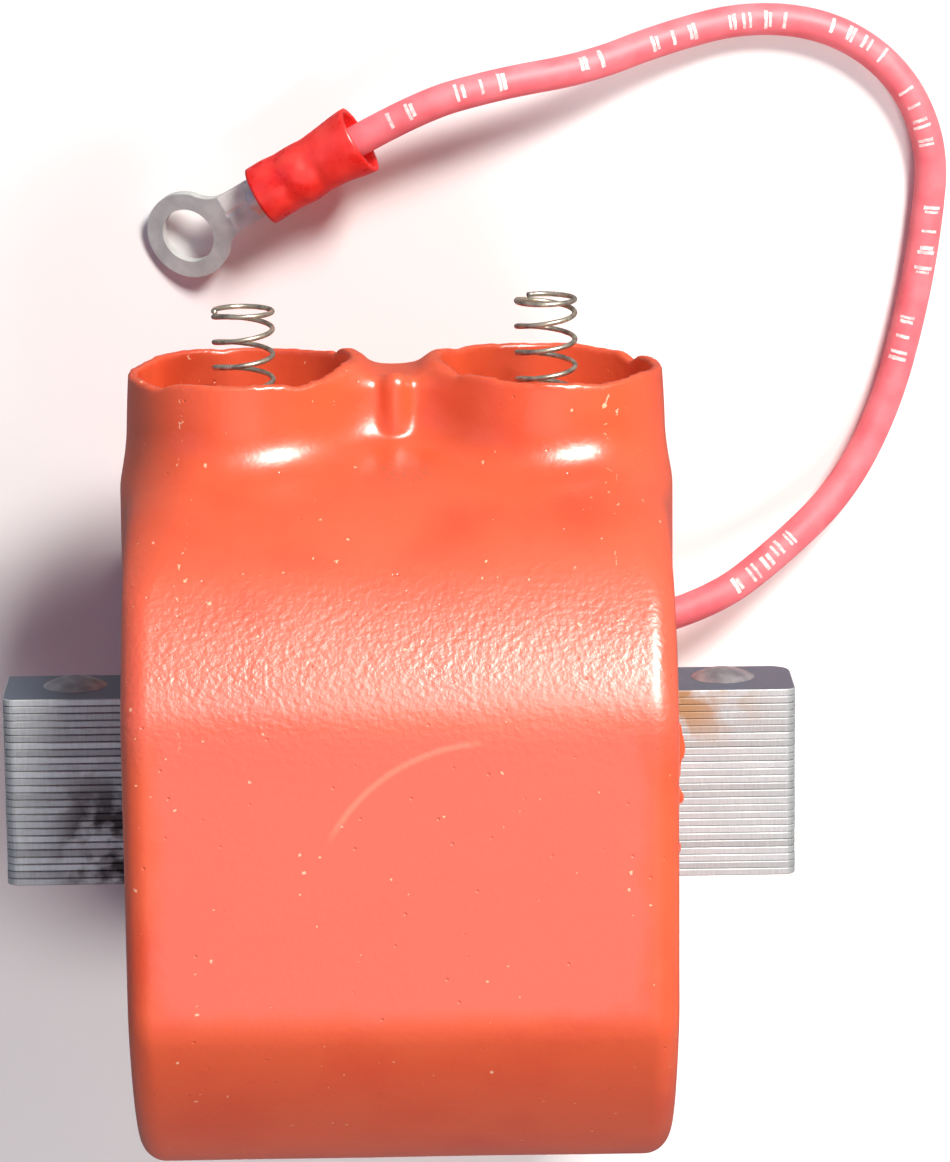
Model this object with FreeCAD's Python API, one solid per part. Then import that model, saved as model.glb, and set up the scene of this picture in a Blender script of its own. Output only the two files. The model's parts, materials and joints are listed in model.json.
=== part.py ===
import FreeCAD, Part

import math
import os

# Dual-outlet ignition coil of a small engine, lying on the flat back of its casing.
# +X runs along the laminated core, +Y towards the two lead sockets, +Z out of the
# front pad. The origin is on the back, below the middle of the core. Millimetres.

# Casing
AXIS_Z = 29.2
BARREL_R = 31.9
BARREL_Y = -1.1
HALF_WIDTH = 22.7
PAD_EDGE_R = 7.0
CHEEK_EDGE_R = 2.2

# Socket towers, square to the core's axis
SOCKET_X = 12.87
SOCKET_R = 9.05
RIM_R = 9.6
TOWER_R = 10.1
RIM_Y = 36.1
SOCKET_FLOOR_Y = 25.1
TOWER_FOOT_Y = 18.0
TOWER_DRAW = 0.1
TOWER_BELLY_DROP = 4.0
TOWER_WAIST_DROP = 8.0
WEB_HALF_Z = 4.2
WEB_HALF_X = 7.0
WEB_TOP_Y = 35.6
RIB_R = 1.35
RIB_LOW_Y = 31.8

# Core: flat laminations stacked along Y and clamped by two rivets
LAMINATION_COUNT = 26
LAMINATION_T = 0.635
HALF_STACK = LAMINATION_COUNT * LAMINATION_T / 2
CORE_LENGTH = 68.0
CORE_DEPTH = 8.75
CORE_CORNER_R = 0.9
CORE_BACK_CORNER_R = 1.7
RIVET_X = 28.0
RIVET_SETBACK = 0.7
RIVET_R = 1.6
RIVET_HEAD_R = 2.75
RIVET_HEAD_H = 0.75

# Windings, as rings round the core, outwards from the former
FORMER_R = 10.5
PRIMARY_R = 14.0
PRIMARY_WRAP_R = 14.6
SECONDARY_R = 21.0
SECONDARY_WRAP_R = 21.6
PRIMARY_HALF = 17.0
SECONDARY_HALF = 15.2
CHEEK_T = 1.5
TAIL_R = 0.35
GROUND_TAIL_X = 14.0

# Socket contacts and their springs
CUP_R = 3.7
CUP_BORE_R = 3.0
CUP_SEAT_Y = 25.3
CUP_TOP_Y = 26.5
CUP_STEM_R = 0.9
CUP_STEM_Y = 23.2
CUP_FLOOR_T = 1.0
SPRING_WIRE_R = 0.22
SPRING_COIL_R = 2.5
SPRING_PITCH = 2.3
SPRING_TOP_Y = {"left": 41.2, "right": 41.9}

# Lead: insulated stranded wire with a crimped ring terminal
LEAD_R = 1.425
STRANDS_R = 0.75
SPLICE_R = 1.9
SPLICE_X = (3.0, 11.0)
EXIT = (HALF_WIDTH, 8.1, 6.6)
LEAD_ROUTE = [
    EXIT,
    (28.3, 9.55, 6.3),
    (34.3, 13.75, 4.9),
    (40.5, 19.25, 3.0),
    (44.5, 26.75, 1.7),
    (46.8, 35.35, 1.45),
    (48.1, 43.05, 1.45),
    (48.7, 50.35, 1.45),
    (45.7, 57.05, 1.45),
    (39.7, 61.35, 1.45),
    (32.1, 62.35, 1.5),
    (24.5, 60.65, 2.9),
    (17.3, 58.25, 5.2),
    (9.5, 57.25, 7.2),
    (1.8, 55.25, 8.0),
    (-5.9, 50.65, 6.8),
]
ARC_SHARE = 0.45

# Terminal, along its own axis from the sleeve's open end
SLEEVE_REAR = FreeCAD.Vector(-2.83, 52.48, 7.3)
SLEEVE_FRONT = FreeCAD.Vector(-11.48, 47.37, 5.9)
SLEEVE_LENGTH = 10.3
SLEEVE_R = 2.75
SLEEVE_MOUTH_R = 3.15
SLEEVE_WALL = 0.4
BARREL_START = 3.6
BARREL_END = 11.2
BARREL_OUT_R = 1.65
BARREL_BORE_R = 0.85
RING_TIP_GAP = 0.05
RING_REACH = 6.8
RING_R = 4.0
RING_HOLE_R = 2.5
RING_T = 0.8
RING_NECK = 4.6
TONGUE_W = 3.6
RING_SLOPE = math.radians(26.0)
RING_HIP = math.radians(130.0)
TONGUE_WAIST_SETBACK = 0.6
TONGUE_WAIST_INSET = (0.1, 0.35)
TONGUE_PRISM = 6.0
HEEL_LENGTH = 1.6
STRANDS_STUB = 0.4

X = FreeCAD.Vector(1, 0, 0)
Y = FreeCAD.Vector(0, 1, 0)
Z = FreeCAD.Vector(0, 0, 1)
SIDES = {"left": -1, "right": 1}
CLEAR = 50.0
CUT_PAST = 5.0
NEAR = 0.01
ALONG = 0.9


def at(x, y, z):
    """A point in the part's frame."""
    return FreeCAD.Vector(x, y, z)


def block(x0, x1, y0, y1, z0, z1):
    """A box between two corners."""
    return Part.makeBox(x1 - x0, y1 - y0, z1 - z0, at(x0, y0, z0))


def disc_x(r, x0, x1):
    """A cylinder about the core's axis."""
    return Part.makeCylinder(r, x1 - x0, at(x0, 0, AXIS_Z), X)


def disc_y(r, y0, y1, x, z=AXIS_Z):
    """A cylinder along Y."""
    return Part.makeCylinder(r, y1 - y0, at(x, y0, z), Y)


def straight_edges(shape):
    """The straight edges of a shape."""
    return [e for e in shape.Edges if isinstance(e.Curve, Part.Line)]


def core_hole():
    """The room that the laminations take through the casing and the former."""
    half_depth = CORE_DEPTH / 2
    return block(-CLEAR, CLEAR, -HALF_STACK, HALF_STACK, AXIS_Z - half_depth, AXIS_Z + half_depth)


def barrel():
    """The round body with a flat pad in front and a flat back, rounded at both cheeks."""
    width = 2 * HALF_WIDTH
    body = Part.makeCylinder(BARREL_R, width, at(-HALF_WIDTH, BARREL_Y, AXIS_Z), X)
    body = body.common(block(-HALF_WIDTH, HALF_WIDTH, -CLEAR, CLEAR, 0, 2 * AXIS_Z))
    long_edges = [e for e in straight_edges(body) if abs(e.tangentAt(0).x) > ALONG]
    pad_edges = [e for e in long_edges if abs(abs(e.CenterOfMass.z - AXIS_Z) - AXIS_Z) < NEAR]
    body = body.makeFillet(PAD_EDGE_R, pad_edges)
    ends = [e for e in body.Edges if abs(abs(e.CenterOfMass.x) - HALF_WIDTH) < NEAR]
    return body.makeFillet(CHEEK_EDGE_R, ends)


def tower(x):
    """One round socket tower: a slightly bulged wall that draws in to the rim."""
    foot = at(TOWER_R - TOWER_DRAW, TOWER_FOOT_Y, 0)
    waist = at(TOWER_R - TOWER_DRAW, RIM_Y - TOWER_WAIST_DROP, 0)
    belly = at(TOWER_R, RIM_Y - TOWER_BELLY_DROP, 0)
    rim = at(RIM_R, RIM_Y, 0)
    outline = [
        Part.LineSegment(at(0, TOWER_FOOT_Y, 0), foot).toShape(),
        Part.LineSegment(foot, waist).toShape(),
        Part.Arc(waist, belly, rim).toShape(),
        Part.LineSegment(rim, at(0, RIM_Y, 0)).toShape(),
        Part.LineSegment(at(0, RIM_Y, 0), at(0, TOWER_FOOT_Y, 0)).toShape(),
    ]
    solid = Part.Face(Part.Wire(outline)).revolve(at(0, 0, 0), Y, 360)
    solid.translate(at(x, 0, AXIS_Z))
    return solid


def web_and_rib():
    """The wall between the towers, with the rounded rib down its front."""
    z = AXIS_Z + WEB_HALF_Z
    web = block(-WEB_HALF_X, WEB_HALF_X, TOWER_FOOT_Y, WEB_TOP_Y, AXIS_Z - WEB_HALF_Z, z)
    rib = disc_y(RIB_R, RIB_LOW_Y, WEB_TOP_Y, 0, z)
    return web.fuse([rib, Part.makeSphere(RIB_R, at(0, RIB_LOW_Y, z))])


def coil_casing(inside):
    """The cast casing: everything outside the pieces that it is cast round."""
    solid = barrel().fuse([tower(s * SOCKET_X) for s in SIDES.values()] + [web_and_rib()])
    for s in SIDES.values():
        solid = solid.cut(disc_y(SOCKET_R, SOCKET_FLOOR_Y, RIM_Y + CUT_PAST, s * SOCKET_X))
    for piece in [core_hole()] + inside:
        solid = solid.cut(piece)
    return solid.removeSplitter()


def lamination(y):
    """One stamped sheet with rounded corners, the rear right one more than the others."""
    half_depth = CORE_DEPTH / 2
    half = CORE_LENGTH / 2
    sheet = block(-half, half, y, y + LAMINATION_T, AXIS_Z - half_depth, AXIS_Z + half_depth)
    corners = [e for e in straight_edges(sheet) if abs(e.tangentAt(0).y) > ALONG]
    sheet = sheet.makeFillet(CORE_CORNER_R, [e for e in corners if e.CenterOfMass.z > AXIS_Z])
    corners = [e for e in straight_edges(sheet) if abs(e.tangentAt(0).y) > ALONG]
    rear = [e for e in corners if abs(e.CenterOfMass.z - AXIS_Z + half_depth) < NEAR]
    return sheet.makeFillet(CORE_BACK_CORNER_R, [e for e in rear if e.CenterOfMass.x > 0])


def core_laminations():
    """The stack of sheets, drilled for the rivets."""
    z = AXIS_Z - RIVET_SETBACK
    holes = [disc_y(RIVET_R, -HALF_STACK, HALF_STACK, s * RIVET_X, z) for s in SIDES.values()]
    sheets = [lamination(i * LAMINATION_T - HALF_STACK) for i in range(LAMINATION_COUNT)]
    return Part.makeCompound([s.cut(holes) for s in sheets])


def rivet(x):
    """A rivet with a low domed head on each side of the stack."""
    z = AXIS_Z - RIVET_SETBACK
    shank = disc_y(RIVET_R, -HALF_STACK, HALF_STACK, x, z)
    ball_r = (RIVET_HEAD_R**2 + RIVET_HEAD_H**2) / (2 * RIVET_HEAD_H)
    heads = []
    for s in SIDES.values():
        ball = Part.makeSphere(ball_r, at(x, s * (HALF_STACK + RIVET_HEAD_H - ball_r), z))
        low, high = sorted((s * HALF_STACK, s * (HALF_STACK + RIVET_HEAD_H)))
        heads.append(ball.common(disc_y(RIVET_HEAD_R, low, high, x, z)))
    return shank.fuse(heads).removeSplitter()


def core_rivets():
    """Both rivets."""
    return Part.makeCompound([rivet(s * RIVET_X) for s in SIDES.values()])


def ring_x(r_out, r_in, half):
    """A ring about the core's axis."""
    return disc_x(r_out, -half, half).cut(disc_x(r_in, -half, half))


def ground_tail():
    """The primary's earthed end, down through the former to the stack."""
    low = AXIS_Z + CORE_DEPTH / 2
    return Part.makeCylinder(TAIL_R, AXIS_Z + FORMER_R - low, at(GROUND_TAIL_X, 0, low), Z)


def primary_tail():
    """The primary's live end: out between the windings and the cheek, then along to the splice."""
    outward = at(0, EXIT[1], EXIT[2] - AXIS_Z)
    reach = outward.Length
    outward.normalize()
    x = -(SECONDARY_HALF + PRIMARY_HALF) / 2
    start = at(x, 0, AXIS_Z) + outward * PRIMARY_R
    corner = at(x, EXIT[1], EXIT[2])
    radial = Part.makeCylinder(TAIL_R, reach - PRIMARY_R, start, outward)
    along = Part.makeCylinder(TAIL_R, SPLICE_X[0] - x, corner, X)
    return radial.fuse([along, Part.makeSphere(TAIL_R, corner)]).removeSplitter()


def lead_joint():
    """The crimped splice between the primary's tail and the lead."""
    return Part.makeCylinder(SPLICE_R, SPLICE_X[1] - SPLICE_X[0], at(SPLICE_X[0], *EXIT[1:]), X)


def lead_inner_run():
    """The part of the lead that is cast into the casing."""
    return Part.makeCylinder(LEAD_R, EXIT[0] - SPLICE_X[1], at(SPLICE_X[1], *EXIT[1:]), X)


def secondary_tail(x):
    """One end of the secondary, up to a socket contact."""
    return disc_y(TAIL_R, SECONDARY_R * math.cos(math.asin(TAIL_R / SECONDARY_R)), CUP_STEM_Y, x)


def socket_contact(x):
    """The brass cup at a socket's floor, with the stem that meets the secondary's tail."""
    cup = disc_y(CUP_R, CUP_SEAT_Y - CUP_FLOOR_T, CUP_TOP_Y, x)
    cup = cup.cut(disc_y(CUP_BORE_R, CUP_SEAT_Y, CUP_TOP_Y, x))
    return cup.fuse(disc_y(CUP_STEM_R, CUP_STEM_Y, CUP_SEAT_Y - CUP_FLOOR_T, x)).removeSplitter()


def contact_spring(side):
    """A round-wire compression spring, right-handed, standing on its cup."""
    low = CUP_SEAT_Y + SPRING_WIRE_R
    height = SPRING_TOP_Y[side] - SPRING_WIRE_R - low
    pitch = height / round(height / SPRING_PITCH)
    helix = Part.makeLongHelix(pitch, height, SPRING_COIL_R)
    line = helix.Edges[0]
    start = line.valueAt(line.FirstParameter)
    along = line.tangentAt(line.FirstParameter)
    section = Part.Wire(Part.makeCircle(SPRING_WIRE_R, start, along))
    coil = Part.Wire(helix.Edges).makePipeShell([section], True, True)
    coil.rotate(at(0, 0, 0), X, -90)
    coil.translate(at(SIDES[side] * SOCKET_X, low, AXIS_Z))
    return coil


def lead_path():
    """The lead's centre line: straight runs joined by tangent arcs."""
    points = [at(*p) for p in LEAD_ROUTE]
    edges = []
    start = points[0]
    length = 0.0
    for i in range(1, len(points) - 1):
        back = points[i - 1] - points[i]
        ahead = points[i + 1] - points[i]
        half_turn = (math.pi - back.getAngle(ahead)) / 2
        trim = ARC_SHARE * min(back.Length, ahead.Length)
        radius = trim / math.tan(half_turn)
        back.normalize()
        ahead.normalize()
        arc_in = points[i] + back * trim
        arc_out = points[i] + ahead * trim
        inward = back + ahead
        inward.normalize()
        middle = points[i] + inward * (radius / math.cos(half_turn) - radius)
        edges.append(Part.LineSegment(start, arc_in).toShape())
        edges.append(Part.Arc(arc_in, middle, arc_out).toShape())
        length += (arc_in - start).Length + radius * 2 * half_turn
        print(f"arc {i}: radius {radius:.1f} mm, {radius / (2 * LEAD_R):.1f} diameters")
        start = arc_out
    edges.append(Part.LineSegment(start, points[-1]).toShape())
    length += (points[-1] - start).Length
    return Part.Wire(edges), length


def lead_wire():
    """The free lead, as one tube along its route."""
    path, length = lead_path()
    start = at(*LEAD_ROUTE[0])
    along = at(*LEAD_ROUTE[1]) - start
    section = Part.Wire(Part.makeCircle(LEAD_R, start, along))
    tube = path.makePipeShell([section], True, True)
    share = tube.Volume / (math.pi * LEAD_R**2 * length)
    print(f"lead: {length:.1f} mm long, volume is {share:.4f} of section times length")
    return tube


def terminal_axis():
    """The direction of the terminal's barrel, towards the ring."""
    along = SLEEVE_FRONT - SLEEVE_REAR
    along.normalize()
    return along


def on_axis(distance):
    """A point on the terminal's axis."""
    return SLEEVE_REAR + terminal_axis() * distance


def rod(r, start, end):
    """A cylinder on the terminal's axis."""
    return Part.makeCylinder(r, end - start, on_axis(start), terminal_axis())


def terminal_sleeve():
    """The vinyl sleeve: flared at the open end, tight on the barrel in front."""
    taper = Part.makeCone(
        SLEEVE_MOUTH_R, SLEEVE_R, BARREL_START, on_axis(0), terminal_axis()
    )
    solid = taper.fuse(rod(SLEEVE_R, BARREL_START, SLEEVE_LENGTH))
    mouth = Part.makeCone(
        SLEEVE_MOUTH_R - SLEEVE_WALL, SLEEVE_R - SLEEVE_WALL, BARREL_START, on_axis(0), terminal_axis()
    )
    return solid.cut([mouth, rod(BARREL_OUT_R, BARREL_START, SLEEVE_LENGTH)]).removeSplitter()


def bent_strip(points, across, width):
    """A strip of the ring's sheet metal, bent along a line of points."""
    solid = None
    for start, end in zip(points, points[1:]):
        along = end - start
        length = along.Length
        along.normalize()
        normal = along.cross(across)
        corner = start - normal * (RING_T / 2) - across * (width / 2)
        face = Part.Face(
            Part.makePolygon(
                [
                    corner,
                    corner + across * width,
                    corner + across * width + normal * RING_T,
                    corner + normal * RING_T,
                    corner,
                ]
            )
        )
        plate = face.extrude(along * length)
        bend = Part.makeCylinder(RING_T / 2, width, start - across * (width / 2), across)
        solid = plate.fuse(bend) if solid is None else solid.fuse([plate, bend])
    return solid


def ring_outline(centre, along, across, normal):
    """The ring with its tongue seen from above, as a tall prism to cut the strip with."""

    def spot(p, q):
        return centre + along * p + across * q - normal * TONGUE_PRISM

    hip = (RING_R * math.cos(RING_HIP), RING_R * math.sin(RING_HIP))
    waist = (-RING_NECK - TONGUE_WAIST_SETBACK, TONGUE_W / 2)
    inset_along, inset_across = TONGUE_WAIST_INSET
    middle = ((hip[0] + waist[0]) / 2 + inset_along, (hip[1] + waist[1]) / 2 - inset_across)
    far = -RING_NECK - TONGUE_PRISM
    outline = [
        Part.Arc(spot(*hip), spot(RING_R, 0), spot(hip[0], -hip[1])),
        Part.Arc(spot(hip[0], -hip[1]), spot(middle[0], -middle[1]), spot(waist[0], -waist[1])),
        Part.LineSegment(spot(waist[0], -waist[1]), spot(far, -waist[1])),
        Part.LineSegment(spot(far, -waist[1]), spot(far, waist[1])),
        Part.LineSegment(spot(far, waist[1]), spot(*waist)),
        Part.Arc(spot(*waist), spot(*middle), spot(*hip)),
    ]
    face = Part.Face(Part.Wire([line.toShape() for line in outline]))
    return face.extrude(normal * (2 * TONGUE_PRISM))


def ring_terminal():
    """The tinned ring, its tongue and its crimp barrel, in one pressing."""
    flat = at(terminal_axis().x, terminal_axis().y, 0)
    flat.normalize()
    along = flat * math.cos(RING_SLOPE) - Z * math.sin(RING_SLOPE)
    normal = flat * math.sin(RING_SLOPE) + Z * math.cos(RING_SLOPE)
    across = along.cross(normal)
    barrel_end = on_axis(BARREL_END)
    centre = barrel_end + flat * RING_REACH
    centre.z = RING_TIP_GAP + RING_R * math.sin(RING_SLOPE) + RING_T / 2 * math.cos(RING_SLOPE)
    under_barrel = Z * (RING_T / 2 - BARREL_OUT_R)
    heel = on_axis(BARREL_END - HEEL_LENGTH) + under_barrel
    strip = bent_strip(
        [centre + along * (RING_R + 1), centre - along * RING_NECK, barrel_end + under_barrel, heel],
        across,
        2 * RING_R + 1,
    )
    strip = strip.common(ring_outline(centre, along, across, normal))
    hole = Part.makeCylinder(RING_HOLE_R, 4 * RING_T, centre - normal * (2 * RING_T), normal)
    solid = strip.fuse(rod(BARREL_OUT_R, BARREL_START, BARREL_END))
    print(f"ring centre {centre.x:.2f} {centre.y:.2f} {centre.z:.2f}")
    print(f"ring normal {normal.x:.4f} {normal.y:.4f} {normal.z:.4f}")
    bore = rod(BARREL_BORE_R, BARREL_START - CUT_PAST, BARREL_END + CUT_PAST)
    return solid.cut([hole, bore]).removeSplitter()


def lead_strands():
    """The bare strands in the barrel, with a short stub in front of it."""
    return rod(STRANDS_R, BARREL_START, BARREL_END + STRANDS_STUB)


def save(node, shape):
    """Writes one node's STEP file."""
    shape.exportStep(f"parts/{node}.step")
    print(f"{node}: {len(shape.Solids)} solids, valid {shape.isValid()}, volume {shape.Volume:.1f}")


def main():
    os.makedirs("parts", exist_ok=True)
    cheek = PRIMARY_HALF + CHEEK_T
    hole = core_hole()
    earth = ground_tail()
    live = primary_tail()
    pieces = {
        "core_tube": disc_x(FORMER_R, -PRIMARY_HALF, PRIMARY_HALF).cut([hole, earth]),
        "left_winding_cheek": disc_x(SECONDARY_WRAP_R, -cheek, -PRIMARY_HALF).cut(hole),
        "right_winding_cheek": disc_x(SECONDARY_WRAP_R, PRIMARY_HALF, cheek).cut(hole),
        "primary_winding": ring_x(PRIMARY_R, FORMER_R, PRIMARY_HALF),
        "primary_wrap": ring_x(PRIMARY_WRAP_R, PRIMARY_R, PRIMARY_HALF).cut(live),
        "secondary_winding": ring_x(SECONDARY_R, PRIMARY_WRAP_R, SECONDARY_HALF),
        "secondary_wrap": ring_x(SECONDARY_WRAP_R, SECONDARY_R, SECONDARY_HALF),
        "ground_tail": earth,
        "primary_tail": live,
        "lead_joint": lead_joint(),
        "lead_inner_run": lead_inner_run(),
    }
    for side, s in SIDES.items():
        pieces[f"{side}_secondary_tail"] = secondary_tail(s * SOCKET_X)
        pieces[f"{side}_socket_contact"] = socket_contact(s * SOCKET_X)
        pieces["secondary_wrap"] = pieces["secondary_wrap"].cut(pieces[f"{side}_secondary_tail"])
    casing = coil_casing(list(pieces.values()))
    for node, shape in pieces.items():
        save(node, shape)
    save("coil_casing", casing)
    save("core_laminations", core_laminations())
    save("core_rivets", core_rivets())
    for side in SIDES:
        save(f"{side}_contact_spring", Part.makeCompound(contact_spring(side)))
    save("lead_wire", lead_wire())
    save("terminal_sleeve", terminal_sleeve())
    save("ring_terminal", ring_terminal())
    save("lead_strands", lead_strands())


main()
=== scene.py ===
"""Looks of a small engine's dual-outlet ignition coil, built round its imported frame.

The frame is in metres. Sizes that belong to this file are given in millimetres and
turned into metres by one function. +X runs along the core, +Y towards the sockets,
and the coil lies on its flat back on the plane z = 0.
"""

import json
import logging
import math
import random
from dataclasses import dataclass
from enum import Enum
from typing import Callable, Sequence

import bpy
import numpy as np
from mathutils import Matrix, Vector


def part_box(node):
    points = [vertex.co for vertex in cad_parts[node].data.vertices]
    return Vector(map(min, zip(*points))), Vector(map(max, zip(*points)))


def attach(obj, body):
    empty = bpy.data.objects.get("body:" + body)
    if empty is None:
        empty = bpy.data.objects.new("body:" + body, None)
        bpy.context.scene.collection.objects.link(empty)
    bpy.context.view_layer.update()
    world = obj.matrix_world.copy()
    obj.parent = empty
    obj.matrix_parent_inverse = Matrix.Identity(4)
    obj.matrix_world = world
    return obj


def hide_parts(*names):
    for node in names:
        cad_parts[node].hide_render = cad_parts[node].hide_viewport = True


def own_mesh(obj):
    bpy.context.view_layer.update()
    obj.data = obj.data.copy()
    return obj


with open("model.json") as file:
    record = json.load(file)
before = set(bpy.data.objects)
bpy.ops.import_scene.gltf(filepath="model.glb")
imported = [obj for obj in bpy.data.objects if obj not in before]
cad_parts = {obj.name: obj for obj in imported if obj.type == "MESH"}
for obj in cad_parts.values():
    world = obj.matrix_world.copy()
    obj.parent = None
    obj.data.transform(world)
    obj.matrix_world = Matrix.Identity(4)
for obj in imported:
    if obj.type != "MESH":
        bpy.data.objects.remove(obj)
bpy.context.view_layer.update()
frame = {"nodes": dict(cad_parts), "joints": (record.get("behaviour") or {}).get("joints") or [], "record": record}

LOG = logging.getLogger("ignition_coil")
MM = 0.001


class Side(Enum):
    """The two socket sides, with the sign of their x."""

    LEFT = -1
    RIGHT = 1


def mm(*values: float) -> Vector:
    """A point or vector given in millimetres, in metres."""
    return Vector(values) * MM


def linear(hex_colour: str) -> tuple[float, float, float, float]:
    """Turns an sRGB hex colour into linear light.

    Args:
        hex_colour: Six hex digits after a hash, such as "#E8532F".

    Returns:
        Red, green, blue and an alpha of 1.
    """
    parts = [int(hex_colour[i : i + 2], 16) / 255 for i in (1, 3, 5)]
    lit = [p / 12.92 if p <= 0.04045 else ((p + 0.055) / 1.055) ** 2.4 for p in parts]
    return (lit[0], lit[1], lit[2], 1.0)


def add(
    tree: bpy.types.NodeTree, kind: str, inputs: dict | None = None, **settings: object
) -> bpy.types.Node:
    """Adds one node with its settings, values and links.

    Args:
        tree: The node tree that gets it.
        kind: The node's Blender type, such as "ShaderNodeBump".
        inputs: Socket name or number to a value, or to the output socket that feeds it.
        settings: Properties of the node itself.

    Returns:
        The new node.
    """
    node = tree.nodes.new(kind)
    for name, value in settings.items():
        setattr(node, name, value)
    for key, value in (inputs or {}).items():
        if isinstance(value, bpy.types.NodeSocket):
            tree.links.new(value, node.inputs[key])
        else:
            node.inputs[key].default_value = value
    return node


def new_material(
    name: str,
) -> tuple[bpy.types.Material, bpy.types.NodeTree, bpy.types.Node, bpy.types.NodeSocket]:
    """An empty material with a principled shader and its place in millimetres.

    Args:
        name: The material's name.

    Returns:
        The material, its tree, its shader and a vector of the point's place in mm.
    """
    material = bpy.data.materials.new(name)
    material.use_nodes = True
    tree = material.node_tree
    shader = tree.nodes["Principled BSDF"]
    place = add(tree, "ShaderNodeTexCoord")
    scaled = add(
        tree, "ShaderNodeVectorMath", {0: place.outputs["Object"], "Scale": 1 / MM}, operation="SCALE"
    )
    return material, tree, shader, scaled.outputs[0]


def dress(piece: bpy.types.Object, material: bpy.types.Material) -> None:
    """Gives a piece one material in place of any that it has."""
    piece.data.materials.clear()
    piece.data.materials.append(material)


def mesh_piece(name: str, points: Sequence, faces: Sequence, smooth: bool = True) -> bpy.types.Object:
    """Makes a mesh object in the scene.

    Args:
        name: The piece's name.
        points: Its points, in metres.
        faces: Its faces, as lists of point numbers.
        smooth: Whether its faces are shaded smooth.

    Returns:
        The new object, at the origin.
    """
    mesh = bpy.data.meshes.new(name)
    mesh.from_pydata([tuple(p) for p in points], [], [tuple(f) for f in faces])
    mesh.validate()
    mesh.polygons.foreach_set("use_smooth", [smooth] * len(mesh.polygons))
    piece = bpy.data.objects.new(name, mesh)
    bpy.context.scene.collection.objects.link(piece)
    return piece


def tube_rings(line: Sequence[Vector], radius: Callable[[float], float], sides: int) -> tuple[list, list]:
    """The points and faces of a closed round tube along a line.

    Args:
        line: The centre line's points, in metres.
        radius: The tube's radius at a share of its length, in metres.
        sides: How many points go round it.

    Returns:
        Points and faces, with both ends closed.
    """
    points, faces = [], []
    across = Vector((0.31, 0.22, 0.93))
    for i, centre in enumerate(line):
        ahead = (line[min(i + 1, len(line) - 1)] - line[max(i - 1, 0)]).normalized()
        across = (across - ahead * across.dot(ahead)).normalized()
        other = ahead.cross(across)
        r = radius(i / (len(line) - 1))
        for k in range(sides):
            turn = 2 * math.pi * k / sides
            points.append(centre + (across * math.cos(turn) + other * math.sin(turn)) * r)
    for i in range(len(line) - 1):
        for k in range(sides):
            n = (k + 1) % sides
            faces.append((i * sides + k, i * sides + n, (i + 1) * sides + n, (i + 1) * sides + k))
    faces.append(tuple(reversed(range(sides))))
    faces.append(tuple(range((len(line) - 1) * sides, len(line) * sides)))
    return points, faces


# ---------------------------------------------------------------- finishes


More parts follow.
